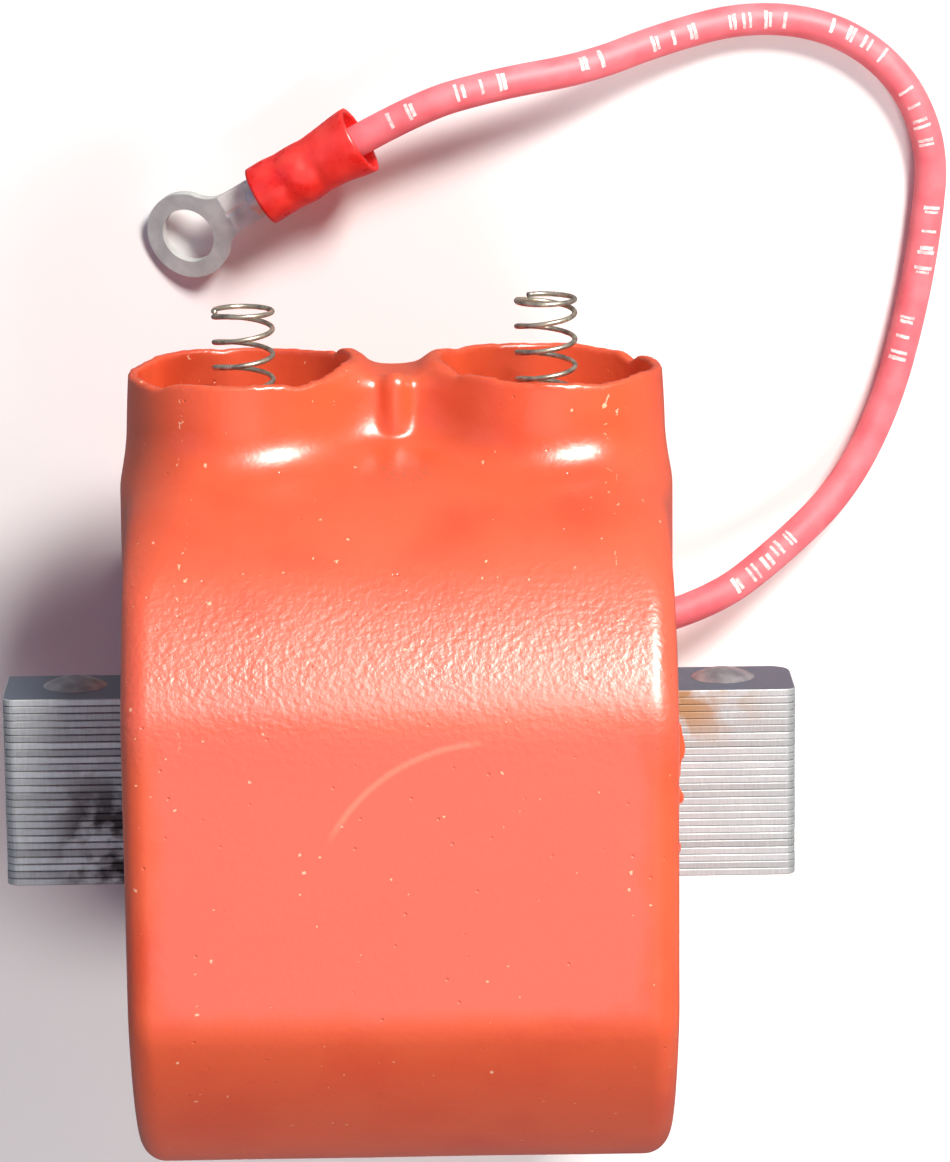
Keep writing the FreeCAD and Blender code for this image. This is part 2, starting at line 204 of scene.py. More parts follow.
@dataclass(frozen=True)
class MouldedPolyester:
    """Moulded polyester compound: a hard, glossy orange-red skin with mould grain and scuffs."""

    body: str = "#E05933"
    deep: str = "#D84B2A"
    # The pinker tone of the painted sheen on the front pad and the shoulder band.
    pad: str = "#DC614D"
    speck: str = "#FFD8B4"
    fleck: str = "#D9A03C"
    # The brown that the hollow under the rib darkens to.
    hollow_dark: str = "#A5583F"
    pebble_mm: float = 0.55
    mottle_mm: float = 8.0
    pit_mm: float = 1.9
    speck_mm: float = 1.5
    wander_mm: float = 4.5
    wander_reach: float = 2.4
    arc_centre: tuple = (7.3, -4.6)
    arc_r: float = 14.8
    flow_line_x: float = 20.2
    hollow_at: tuple = (0.6, 28.9)
    fleck_at: tuple = (6.6, 14.9)

    def make(self, axis: float, pad_z: float) -> bpy.types.Material:
        """Builds it.

        Args:
            axis: Height of the core's axis, mm.
            pad_z: Height of the front pad, mm.

        Returns:
            The material.
        """
        material, tree, shader, place = new_material("moulded_polyester")
        x, y, z = add(tree, "ShaderNodeSeparateXYZ", {0: place}).outputs
        smooth = {"interpolation_type": "SMOOTHSTEP"}
        on_pad = add(tree, "ShaderNodeMapRange", {0: z, 1: pad_z - 2.4, 2: pad_z - 0.1}, **smooth)
        wander = add(
            tree, "ShaderNodeTexNoise", {"Vector": place, "Scale": 1 / self.wander_mm, "Detail": 3.0}
        )
        out_x = add(tree, "ShaderNodeMath", {0: x}, operation="ABSOLUTE")
        out_y = add(tree, "ShaderNodeMath", {0: y, 1: 0.6}, operation="ADD")
        deep_y = add(tree, "ShaderNodeMath", {0: out_y.outputs[0]}, operation="ABSOLUTE")
        side_x = add(
            tree,
            "ShaderNodeMath",
            {0: wander.outputs[0], 1: self.wander_reach, 2: out_x.outputs[0]},
            operation="MULTIPLY_ADD",
        )
        side_y = add(
            tree,
            "ShaderNodeMath",
            {0: wander.outputs[0], 1: self.wander_reach, 2: deep_y.outputs[0]},
            operation="MULTIPLY_ADD",
        )
        in_x = add(tree, "ShaderNodeMapRange", {0: side_x.outputs[0], 1: 22.2, 2: 20.0}, **smooth)
        in_y = add(tree, "ShaderNodeMapRange", {0: side_y.outputs[0], 1: 14.6, 2: 12.2}, **smooth)
        pad_sheen_xy = add(
            tree, "ShaderNodeMath", {0: in_x.outputs[0], 1: in_y.outputs[0]}, operation="MULTIPLY"
        )
        pad_sheen_patch = add(
            tree, "ShaderNodeMath", {0: pad_sheen_xy.outputs[0], 1: on_pad.outputs[0]}, operation="MULTIPLY"
        )
        above = add(tree, "ShaderNodeMapRange", {0: y, 1: 6.5, 2: 11.5}, **smooth)
        below = add(tree, "ShaderNodeMapRange", {0: y, 1: 26.0, 2: 19.0}, **smooth)
        ahead = add(tree, "ShaderNodeMapRange", {0: z, 1: axis + 9.0, 2: axis + 17.0}, **smooth)
        shoulder = add(
            tree, "ShaderNodeMath", {0: above.outputs[0], 1: below.outputs[0]}, operation="MULTIPLY"
        )
        band = add(
            tree, "ShaderNodeMath", {0: shoulder.outputs[0], 1: ahead.outputs[0]}, operation="MULTIPLY"
        )

        # The mould's slow mottle, which keeps the colour from being one flat tone.
        mottle = add(
            tree, "ShaderNodeTexNoise", {"Vector": place, "Scale": 1 / self.mottle_mm, "Detail": 4.0}
        )
        toned = add(tree, "ShaderNodeMapRange", {0: mottle.outputs[0], 1: 0.2, 2: 0.55})
        skin = add(
            tree,
            "ShaderNodeMix",
            {0: toned.outputs[0], 6: linear(self.deep), 7: linear(self.body)},
            data_type="RGBA",
        )
        # Painted sheen: a pinker, paler tone laid over the front pad and, at about half strength, over the
        # shoulder band where the key's highlight falls.
        band_sheen_share = add(tree, "ShaderNodeMath", {0: band.outputs[0], 1: 0.55}, operation="MULTIPLY")
        painted_sheen_mask = add(
            tree, "ShaderNodeMath", {0: pad_sheen_patch.outputs[0], 1: band_sheen_share.outputs[0]}, operation="MAXIMUM"
        )
        painted_sheen_share = add(tree, "ShaderNodeMath", {0: painted_sheen_mask.outputs[0], 1: 0.85}, operation="MULTIPLY")
        sheen_painted = add(
            tree,
            "ShaderNodeMix",
            {0: painted_sheen_share.outputs[0], 6: skin.outputs[2], 7: linear(self.pad)},
            data_type="RGBA",
        )

        # The colour darkens to a brown, in patches, in the hollow under the rib between the sockets.
        hollow = add(
            tree,
            "ShaderNodeVectorMath",
            {0: place, 1: (*self.hollow_at, axis + 10.0)},
            operation="DISTANCE",
        )
        hollow_near = add(
            tree, "ShaderNodeMapRange", {0: hollow.outputs["Value"], 1: 4.4, 2: 1.2, 4: 0.6}, **smooth
        )
        hollow_noise = add(tree, "ShaderNodeTexNoise", {"Vector": place, "Scale": 2.4, "Detail": 5.0})
        hollow_patches = add(tree, "ShaderNodeMapRange", {0: hollow_noise.outputs[0], 1: 0.52, 2: 0.6})
        hollow_dark = add(
            tree, "ShaderNodeMath", {0: hollow_patches.outputs[0], 1: hollow_near.outputs[0]}, operation="MULTIPLY"
        )
        hollow_darkened = add(
            tree,
            "ShaderNodeMix",
            {0: hollow_dark.outputs[0], 6: sheen_painted.outputs[2], 7: linear(self.hollow_dark)},
            data_type="RGBA",
        )

        # Cream specks: chips and filler that show through, most cells left empty.
        frayed = add(tree, "ShaderNodeTexNoise", {"Vector": place, "Scale": 3.0, "Detail": 2.0})
        ragged = add(
            tree,
            "ShaderNodeVectorMath",
            {0: frayed.outputs["Color"], 1: (0.5, 0.5, 0.5), 2: place},
            operation="MULTIPLY_ADD",
        )
        cells = add(tree, "ShaderNodeTexVoronoi", {"Vector": ragged.outputs[0], "Scale": 1 / self.speck_mm})
        chosen = add(tree, "ShaderNodeSeparateColor", {0: cells.outputs["Color"]})
        kept = add(tree, "ShaderNodeMath", {0: chosen.outputs[0], 1: 0.45}, operation="GREATER_THAN")
        size = add(tree, "ShaderNodeMapRange", {0: chosen.outputs[1], 3: 0.03, 4: 0.11})
        near = add(
            tree,
            "ShaderNodeMath",
            {0: cells.outputs["Distance"], 1: size.outputs[0]},
            operation="LESS_THAN",
        )
        specks = add(tree, "ShaderNodeMath", {0: near.outputs[0], 1: kept.outputs[0]}, operation="MULTIPLY")

        # Fine scratches: cells drawn out along one slanting direction.
        drawn = add(
            tree,
            "ShaderNodeMapping",
            {"Vector": place, "Rotation": (0.0, 0.0, 0.5), "Scale": (0.9, 0.07, 0.6)},
        )
        streaks = add(tree, "ShaderNodeTexVoronoi", {"Vector": drawn.outputs[0], "Scale": 0.55})
        pick = add(tree, "ShaderNodeSeparateColor", {0: streaks.outputs["Color"]})
        rare = add(tree, "ShaderNodeMath", {0: pick.outputs[2], 1: 0.7}, operation="GREATER_THAN")
        thin = add(
            tree, "ShaderNodeMath", {0: streaks.outputs["Distance"], 1: 0.035}, operation="LESS_THAN"
        )
        scratch = add(
            tree, "ShaderNodeMath", {0: thin.outputs[0], 1: rare.outputs[0]}, operation="MULTIPLY"
        )

        # One long shallow arc scraped across the pad.
        centre = add(
            tree, "ShaderNodeVectorMath", {0: place, 1: (*self.arc_centre, pad_z)}, operation="DISTANCE"
        )
        off = add(tree, "ShaderNodeMath", {0: centre.outputs["Value"], 1: self.arc_r}, operation="SUBTRACT")
        wide = add(tree, "ShaderNodeMath", {0: off.outputs[0]}, operation="ABSOLUTE")
        line = add(tree, "ShaderNodeMapRange", {0: wide.outputs[0], 1: 0.42, 2: 0.05}, **smooth)
        to_left = add(tree, "ShaderNodeMapRange", {0: x, 1: 7.5, 2: 5.0}, **smooth)
        to_top = add(tree, "ShaderNodeMapRange", {0: y, 1: 1.5, 2: 4.0}, **smooth)
        arc_end = add(
            tree, "ShaderNodeMath", {0: to_left.outputs[0], 1: to_top.outputs[0]}, operation="MULTIPLY"
        )
        arc_pad = add(
            tree, "ShaderNodeMath", {0: arc_end.outputs[0], 1: on_pad.outputs[0]}, operation="MULTIPLY"
        )
        arc = add(tree, "ShaderNodeMath", {0: line.outputs[0], 1: arc_pad.outputs[0]}, operation="MULTIPLY")

        # Crackled flow lines, where the compound met itself near both cheeks.
        flat_x = add(tree, "ShaderNodeMath", {0: x}, operation="ABSOLUTE")
        bent = add(tree, "ShaderNodeTexNoise", {"Vector": place, "Scale": 0.45, "Detail": 5.0})
        swayed = add(
            tree,
            "ShaderNodeMath",
            {0: bent.outputs[0], 1: 4.6, 2: flat_x.outputs[0]},
            operation="MULTIPLY_ADD",
        )
        gap = add(tree, "ShaderNodeMath", {0: swayed.outputs[0], 1: self.flow_line_x}, operation="SUBTRACT")
        gap_size = add(tree, "ShaderNodeMath", {0: gap.outputs[0]}, operation="ABSOLUTE")
        seam = add(tree, "ShaderNodeMath", {0: gap_size.outputs[0], 1: 0.06}, operation="LESS_THAN")
        upper = add(tree, "ShaderNodeMapRange", {0: y, 1: 9.0, 2: 13.0}, **smooth)
        seam_on = add(
            tree, "ShaderNodeMath", {0: seam.outputs[0], 1: upper.outputs[0]}, operation="MULTIPLY"
        )
        broken = add(tree, "ShaderNodeTexNoise", {"Vector": place, "Scale": 1.1, "Detail": 3.0})
        shown = add(tree, "ShaderNodeMath", {0: broken.outputs[0], 1: 0.57}, operation="GREATER_THAN")
        crackle = add(
            tree, "ShaderNodeMath", {0: seam_on.outputs[0], 1: shown.outputs[0]}, operation="MULTIPLY"
        )

        pale = add(
            tree, "ShaderNodeMath", {0: specks.outputs[0], 1: scratch.outputs[0]}, operation="MAXIMUM"
        )
        paler = add(
            tree, "ShaderNodeMath", {0: pale.outputs[0], 1: crackle.outputs[0]}, operation="MAXIMUM"
        )
        faint = add(tree, "ShaderNodeMath", {0: arc.outputs[0], 1: 0.13}, operation="MULTIPLY")
        share = add(tree, "ShaderNodeMath", {0: paler.outputs[0], 1: 0.62}, operation="MULTIPLY")
        worn = add(tree, "ShaderNodeMath", {0: share.outputs[0], 1: faint.outputs[0]}, operation="MAXIMUM")
        scuffed = add(
            tree,
            "ShaderNodeMix",
            {0: worn.outputs[0], 6: hollow_darkened.outputs[2], 7: linear(self.speck)},
            data_type="RGBA",
        )
        grit = add(
            tree, "ShaderNodeVectorMath", {0: place, 1: (*self.fleck_at, pad_z - 2.2)}, operation="DISTANCE"
        )
        fleck = add(tree, "ShaderNodeMath", {0: grit.outputs["Value"], 1: 0.5}, operation="LESS_THAN")
        final = add(
            tree,
            "ShaderNodeMix",
            {0: fleck.outputs[0], 6: scuffed.outputs[2], 7: linear(self.fleck)},
            data_type="RGBA",
        )
        tree.links.new(final.outputs[2], shader.inputs["Base Color"])

        # Mould grain: coarse and shiny on the shoulder above the pad, faint elsewhere.
        pebble = add(
            tree, "ShaderNodeTexNoise", {"Vector": place, "Scale": 1 / self.pebble_mm, "Detail": 3.0}
        )
        amount = add(tree, "ShaderNodeMapRange", {0: band.outputs[0], 3: 0.32, 4: 1.0})
        grain = add(
            tree, "ShaderNodeMath", {0: pebble.outputs[0], 1: amount.outputs[0]}, operation="MULTIPLY"
        )
        pores = add(tree, "ShaderNodeTexVoronoi", {"Vector": place, "Scale": 1 / self.pit_mm})
        pit = add(
            tree, "ShaderNodeMapRange", {0: pores.outputs["Distance"], 1: 0.02, 2: 0.09, 3: -0.7, 4: 0.0}
        )
        carved = add(tree, "ShaderNodeMath", {0: grain.outputs[0], 1: pit.outputs[0]}, operation="ADD")
        raised = add(tree, "ShaderNodeMath", {0: worn.outputs[0], 1: carved.outputs[0]}, operation="ADD")
        bump = add(
            tree, "ShaderNodeBump", {"Height": raised.outputs[0], "Strength": 0.9, "Distance": 0.1 * MM}
        )
        tree.links.new(bump.outputs[0], shader.inputs["Normal"])

        gloss = add(tree, "ShaderNodeMapRange", {0: mottle.outputs[0], 1: 0.3, 2: 0.7, 3: 0.28, 4: 0.38})
        dulled = add(
            tree,
            "ShaderNodeMath",
            {0: on_pad.outputs[0], 1: 0.16, 2: gloss.outputs[0]},
            operation="MULTIPLY_ADD",
        )
        shiny = add(
            tree,
            "ShaderNodeMath",
            {0: band.outputs[0], 1: 0.06, 2: dulled.outputs[0]},
            operation="MULTIPLY_ADD",
        )
        tree.links.new(shiny.outputs[0], shader.inputs["Roughness"])
        shader.inputs["IOR"].default_value = 1.62
        shader.inputs["Coat Weight"].default_value = 0.35
        shader.inputs["Coat Roughness"].default_value = 0.3
        shader.inputs["Subsurface Weight"].default_value = 0.06
        shader.inputs["Subsurface Radius"].default_value = (1.0, 0.25, 0.12)
        shader.inputs["Subsurface Scale"].default_value = 0.8 * MM
        return material


@dataclass(frozen=True)
class PunchedSteel:
    """Bare punched electrical steel: each sheet's cut edge catches the light on its own."""

    bright: str = "#D6DADB"
    dark: str = "#9DA1A3"
    # The dark blue-grey of the painted reflection on the sheets' flat faces.
    painted_dark_reflection: str = "#667181"
    rust: str = "#A07C58"
    oil: str = "#35312E"
    sheet_mm: float = 0.635
    blotch_mm: float = 3.0

    def make(self, half_stack: float) -> bpy.types.Material:
        """Builds it.

        Args:
            half_stack: Half the stack's height, mm.

        Returns:
            The material.
        """
        material, tree, shader, place = new_material("punched_steel")
        x, y, _z = add(tree, "ShaderNodeSeparateXYZ", {0: place}).outputs
        sheet = add(tree, "ShaderNodeMath", {0: y, 1: half_stack}, operation="ADD")
        number = add(
            tree, "ShaderNodeMath", {0: sheet.outputs[0], 1: 1 / self.sheet_mm}, operation="MULTIPLY"
        )
        whole = add(tree, "ShaderNodeMath", {0: number.outputs[0]}, operation="FLOOR")
        tone = add(tree, "ShaderNodeTexWhiteNoise", {"W": whole.outputs[0]}, noise_dimensions="1D")

        # Drag marks of the punch run across each sheet's thickness.
        stretched = add(tree, "ShaderNodeMapping", {"Vector": place, "Scale": (3.2, 0.5, 3.2)})
        drag = add(
            tree, "ShaderNodeTexNoise", {"Vector": stretched.outputs[0], "Scale": 1.6, "Detail": 4.0}
        )
        both = add(tree, "ShaderNodeMath", {0: drag.outputs[0], 1: 0.55}, operation="MULTIPLY")
        mixed = add(
            tree,
            "ShaderNodeMath",
            {0: tone.outputs[0], 1: 0.5, 2: both.outputs[0]},
            operation="MULTIPLY_ADD",
        )
        steel = add(
            tree,
            "ShaderNodeMix",
            {0: mixed.outputs[0], 6: linear(self.dark), 7: linear(self.bright)},
            data_type="RGBA",
        )

        # Oil soaks the left end low down, and light rust sits on the right end near the cheek.
        blotch = add(
            tree, "ShaderNodeTexNoise", {"Vector": place, "Scale": 1 / self.blotch_mm, "Detail": 6.0}
        )
        left = add(tree, "ShaderNodeMapRange", {0: x, 1: -31.0, 2: -26.5}, interpolation_type="SMOOTHSTEP")
        is_left = add(tree, "ShaderNodeMath", {0: x, 1: 0.0}, operation="LESS_THAN")
        low = add(tree, "ShaderNodeMapRange", {0: y, 1: 4.5, 2: -3.5}, interpolation_type="SMOOTHSTEP")
        corner = add(tree, "ShaderNodeMath", {0: left.outputs[0], 1: low.outputs[0]}, operation="MULTIPLY")
        only = add(
            tree, "ShaderNodeMath", {0: corner.outputs[0], 1: is_left.outputs[0]}, operation="MULTIPLY"
        )
        soaked = add(tree, "ShaderNodeMapRange", {0: blotch.outputs[0], 1: 0.42, 2: 0.54})
        oily = add(tree, "ShaderNodeMath", {0: only.outputs[0], 1: soaked.outputs[0]}, operation="MULTIPLY")
        oiled = add(
            tree,
            "ShaderNodeMix",
            {0: oily.outputs[0], 6: steel.outputs[2], 7: linear(self.oil)},
            data_type="RGBA",
        )
        near_cheek = add(
            tree, "ShaderNodeMapRange", {0: x, 1: 33.0, 2: 24.0}, interpolation_type="SMOOTHSTEP"
        )
        is_right = add(tree, "ShaderNodeMath", {0: x, 1: 0.0}, operation="GREATER_THAN")
        high = add(tree, "ShaderNodeMapRange", {0: y, 1: 2.0, 2: 6.5}, interpolation_type="SMOOTHSTEP")
        top = add(
            tree, "ShaderNodeMath", {0: near_cheek.outputs[0], 1: high.outputs[0]}, operation="MULTIPLY"
        )
        here = add(
            tree, "ShaderNodeMath", {0: top.outputs[0], 1: is_right.outputs[0]}, operation="MULTIPLY"
        )
        patchy = add(tree, "ShaderNodeMapRange", {0: blotch.outputs[0], 1: 0.36, 2: 0.52})
        stained = add(
            tree, "ShaderNodeMath", {0: here.outputs[0], 1: patchy.outputs[0]}, operation="MULTIPLY"
        )
        rusted = add(
            tree,
            "ShaderNodeMix",
            {0: stained.outputs[0], 6: oiled.outputs[2], 7: linear(self.rust)},
            data_type="RGBA",
        )

        # The sheets' flat faces are painted a dark blue-grey, a painted reflection of a dark surround; only cut
        # edges are bright.
        shape = add(tree, "ShaderNodeTexCoord")
        facing = add(tree, "ShaderNodeSeparateXYZ", {0: shape.outputs["Normal"]})
        level = add(tree, "ShaderNodeMath", {0: facing.outputs[1]}, operation="ABSOLUTE")
        flat = add(tree, "ShaderNodeMapRange", {0: level.outputs[0], 1: 0.8, 2: 0.97})
        reflection_painted = add(
            tree,
            "ShaderNodeMix",
            {0: flat.outputs[0], 6: rusted.outputs[2], 7: linear(self.painted_dark_reflection)},
            data_type="RGBA",
        )
        tree.links.new(reflection_painted.outputs[2], shader.inputs["Base Color"])

        spoilt = add(
            tree, "ShaderNodeMath", {0: oily.outputs[0], 1: stained.outputs[0]}, operation="MAXIMUM"
        )
        # The flat faces with their painted reflection are made less metallic too, as are the oil and the rust.
        flat_face_share = add(tree, "ShaderNodeMath", {0: flat.outputs[0], 1: 0.8}, operation="MULTIPLY")
        stains_and_flat_faces = add(tree, "ShaderNodeMath", {0: spoilt.outputs[0], 1: flat_face_share.outputs[0]}, operation="MAXIMUM")
        metal = add(tree, "ShaderNodeMapRange", {0: stains_and_flat_faces.outputs[0], 3: 0.6, 4: 0.2})
        rough = add(tree, "ShaderNodeMapRange", {0: mixed.outputs[0], 3: 0.6, 4: 0.42})
        tree.links.new(metal.outputs[0], shader.inputs["Metallic"])
        tree.links.new(rough.outputs[0], shader.inputs["Roughness"])
        bump = add(
            tree, "ShaderNodeBump", {"Height": drag.outputs[0], "Strength": 0.4, "Distance": 0.04 * MM}
        )
        tree.links.new(bump.outputs[0], shader.inputs["Normal"])
        return material


@dataclass(frozen=True)
class PlainMetal:
    """A drawn, stamped or plated metal whose tone and gloss vary over a few millimetres."""

    name: str
    light: str
    dark: str
    metallic: float
    smooth: float
    rough: float
    spot_mm: float = 1.4

    def make(self) -> bpy.types.Material:
        """Builds it."""
        material, tree, shader, place = new_material(self.name)
        spots = add(tree, "ShaderNodeTexNoise", {"Vector": place, "Scale": 1 / self.spot_mm, "Detail": 5.0})
        tone = add(tree, "ShaderNodeMapRange", {0: spots.outputs[0], 1: 0.34, 2: 0.66})
        colour = add(
            tree,
            "ShaderNodeMix",
            {0: tone.outputs[0], 6: linear(self.dark), 7: linear(self.light)},
            data_type="RGBA",
        )
        gloss = add(
            tree, "ShaderNodeMapRange", {0: spots.outputs[0], 1: 0.3, 2: 0.7, 3: self.rough, 4: self.smooth}
        )
        bump = add(
            tree, "ShaderNodeBump", {"Height": spots.outputs[0], "Strength": 0.35, "Distance": 0.03 * MM}
        )
        tree.links.new(colour.outputs[2], shader.inputs["Base Color"])
        tree.links.new(gloss.outputs[0], shader.inputs["Roughness"])
        tree.links.new(bump.outputs[0], shader.inputs["Normal"])
        shader.inputs["Metallic"].default_value = self.metallic
        return material


@dataclass(frozen=True)
class SoftVinyl:
    """Extruded or slipped-on vinyl: soft gloss, a little light through it, faint handling marks."""

    name: str
    light: str
    dark: str
    rough: float
    through: float
    haze_mm: float = 3.0
    grain_mm: float = 0.45

    def make(self) -> bpy.types.Material:
        """Builds it."""
        material, tree, shader, place = new_material(self.name)
        haze = add(tree, "ShaderNodeTexNoise", {"Vector": place, "Scale": 1 / self.haze_mm, "Detail": 4.0})
        tone = add(tree, "ShaderNodeMapRange", {0: haze.outputs[0], 1: 0.36, 2: 0.64})
        colour = add(
            tree,
            "ShaderNodeMix",
            {0: tone.outputs[0], 6: linear(self.dark), 7: linear(self.light)},
            data_type="RGBA",
        )
        gloss = add(
            tree,
            "ShaderNodeMapRange",
            {0: haze.outputs[0], 1: 0.3, 2: 0.7, 3: self.rough, 4: self.rough + 0.14},
        )
        fine = add(tree, "ShaderNodeTexNoise", {"Vector": place, "Scale": 1 / self.grain_mm, "Detail": 2.0})
        bump = add(
            tree, "ShaderNodeBump", {"Height": fine.outputs[0], "Strength": 0.25, "Distance": 0.03 * MM}
        )
        tree.links.new(colour.outputs[2], shader.inputs["Base Color"])
        tree.links.new(gloss.outputs[0], shader.inputs["Roughness"])
        tree.links.new(bump.outputs[0], shader.inputs["Normal"])
        shader.inputs["IOR"].default_value = 1.53
        shader.inputs["Subsurface Weight"].default_value = self.through
        shader.inputs["Subsurface Radius"].default_value = (1.0, 0.22, 0.2)
        shader.inputs["Subsurface Scale"].default_value = 0.7 * MM
        return material


# ---------------------------------------------------------------- casing


def rounded_overlap(a: np.ndarray, b: np.ndarray, r: float) -> np.ndarray:
    """Where two distance fields overlap, with the edge between them rounded.

    Args:
        a: One field, mm.
        b: The other, mm.
        r: The edge's radius, mm.

    Returns:
        The field of the overlap.
    """
    return np.minimum(-r, np.maximum(a, b)) + np.hypot(np.maximum(r + a, 0), np.maximum(r + b, 0))


def blended(a: np.ndarray, b: np.ndarray, k: float) -> np.ndarray:
    """Two fields joined, with a fillet of about k mm in the corner between them."""
    h = np.maximum(k - np.abs(a - b), 0) / k
    return np.minimum(a, b) - h * h * k / 4


@dataclass
class Casing:
    """The cast casing, as one skin found from its distance field."""

    axis: float
    pad_z: float
    half_width: float
    radius: float
    socket_x: float
    socket_r: float
    floor_y: float
    rim_y: float
    sink: float = -1.1
    pad_edge: float = 7.0
    cheek_edge: float = 2.2
    # Towards the sockets the cheeks' edges grow rounder, so that the towers' sides run straight on.
    top_edge: float = 6.4
    round_from: float = 20.0
    round_to: float = 29.0
    tower_foot: float = 18.0
    tower_draw: float = 8.0
    rim_edge: float = 0.22
    tower_r: float = 10.15
    rim_r: float = 9.85
    valley: float = 3.0
    web_half_z: float = 4.2
    web_half_x: float = 7.0
    web_top: float = 35.6
    web_edge: float = 0.9
    web_blend: float = 3.2
    rib_r: float = 1.05
    rib_low: float = 31.8
    rib_blend: float = 0.9
    floor_edge: float = 0.6
    core_half_depth: float = 4.375
    flash_blend: float = 0.5
    step: float = 0.3
    # Resin that ran out along the core: x, y, and the half sizes along x, y, z.
    flash: tuple = (
        (23.2, 4.9, 1.0, 0.9, 0.42),
        (23.3, 3.1, 1.25, 1.3, 0.5),
        (23.1, 0.9, 0.95, 1.2, 0.42),
        (23.2, -1.2, 1.15, 0.9, 0.45),
        (23.1, -5.6, 1.0, 0.9, 0.45),
        (23.0, -7.0, 0.8, 0.7, 0.4),
        (-23.0, 6.3, 0.7, 0.8, 0.4),
    )

    def profile(self, y: np.ndarray, z: np.ndarray) -> np.ndarray:
        """The barrel's section: a circle cut by the pad and the back, with soft edges."""
        r_in = self.radius - self.pad_edge
        h_in = self.pad_z - self.axis - self.pad_edge
        py, pz = np.abs(y - self.sink), np.abs(z - self.axis)
        corner = math.sqrt(r_in * r_in - h_in * h_in)
        dy, dz = py - corner, pz - h_in
        at_corner = (dy > 0) & (dy * h_in - dz * corner < 0)
        plain = np.maximum(np.hypot(py, pz) - r_in, dz)
        return np.where(at_corner, np.hypot(dy, dz), plain) - self.pad_edge

    def rim(self, side: Side, turn: np.ndarray) -> np.ndarray:
        """The rim's height round a tower, torn and nicked, with its inner side the tallest."""
        inward = np.cos(turn) * -side.value
        phase = 0.7 if side is Side.LEFT else 2.4
        height = self.rim_y + 0.42 * np.clip(inward, 0, 1) ** 2 - 0.28 * np.clip(-inward, 0, 1) ** 3
        for waves, size in ((3, 0.13), (7, 0.07), (13, 0.035), (24, 0.018), (41, 0.02)):
            height = height + size * np.sin(waves * turn + phase * waves)
        for place, width, depth in ((2.55, 0.16, 0.5), (-0.62, 0.09, 0.55), (1.1, 0.12, 0.22)):
            gap = np.angle(np.exp(1j * (turn - place * (1 if side is Side.RIGHT else 0.93))))
            height = height - depth * np.exp(-((gap / width) ** 2))
        return height

    def field(self, x: np.ndarray, y: np.ndarray, z: np.ndarray) -> np.ndarray:
        """Signed distance to the casing's skin, mm, negative inside.

        Args:
            x: Places along the core, mm.
            y: Places towards the sockets, mm.
            z: Heights, mm.

        Returns:
            The distances.
        """
        high = np.clip((y - self.round_from) / (self.round_to - self.round_from), 0, 1)
        edge = self.cheek_edge + (self.top_edge - self.cheek_edge) * high * high * (3 - 2 * high)
        body = rounded_overlap(self.profile(y, z), np.abs(x) - self.half_width, edge)
        rise = z - self.axis
        for side in Side:
            from_axis = np.hypot(x - side.value * self.socket_x, rise)
            drop = np.clip(self.rim_y - y, 0, self.tower_draw)
            wall = self.rim_r + (self.tower_r - self.rim_r) * (1 - (1 - drop / self.tower_draw) ** 2)
            turn = np.arctan2(rise, x - side.value * self.socket_x)
            tower = rounded_overlap(from_axis - wall, y - self.rim(side, turn), self.rim_edge)
            body = blended(body, np.maximum(tower, self.tower_foot - y), self.valley)
        web = rounded_overlap(np.abs(rise) - self.web_half_z, y - self.web_top, self.web_edge)
        web = np.maximum(np.maximum(web, np.abs(x) - self.web_half_x), self.tower_foot - y)
        body = blended(body, web, self.web_blend)
        along = np.clip(y, self.rib_low, self.web_top - 0.5)
        rib = np.sqrt(x**2 + (y - along) ** 2 + (rise - self.web_half_z) ** 2) - self.rib_r
        body = blended(body, rib, self.rib_blend)
        front = self.axis + self.core_half_depth
        for fx, fy, rx, ry, rz in self.flash:
            away = np.sqrt(((x - fx) / rx) ** 2 + ((y - fy) / ry) ** 2 + ((z - front) / rz) ** 2)
            body = blended(body, (away - 1) * rz, self.flash_blend)
        # The mould's slow, irregular waviness.
        slow = np.sin(x / 6.1 + 1.3 * np.sin(y / 9.7))
        slow = slow + np.sin(y / 7.3 + 1.7 * np.sin(x / 11.9 + z / 8.3) + 1.1)
        body = body + 0.012 * slow + 0.008 * np.sin(x / 2.9 + 1.9 * np.sin(y / 5.1) + z / 3.3)
        for side in Side:
            from_axis = np.hypot(x - side.value * self.socket_x, rise)
            socket = rounded_overlap(from_axis - self.socket_r, self.floor_y - y, self.floor_edge)
            body = np.maximum(body, -socket)
        return body

    def skin(self) -> tuple[np.ndarray, np.ndarray]:
        """The field's zero surface as points in mm and four-sided faces."""
        low = np.array([-self.half_width - 2.5, self.sink - self.radius - 1.5, -1.5])
        high = np.array([self.half_width + 2.5, self.rim_y + 2.0, self.pad_z + 1.5])
        lines = [np.arange(low[i], high[i] + self.step, self.step) for i in range(3)]
        grid = np.meshgrid(*lines, indexing="ij", sparse=True)
        values = self.field(*(g.astype(np.float32) for g in grid))
        inside = values < 0
        shape = tuple(n - 1 for n in values.shape)
        corners = [(a, b, c) for a in (0, 1) for b in (0, 1) for c in (0, 1)]

        def window(array: np.ndarray, corner: tuple[int, int, int]) -> np.ndarray:
            """One corner of every cell."""
            return array[tuple(slice(o, o + n) for o, n in zip(corner, shape))]

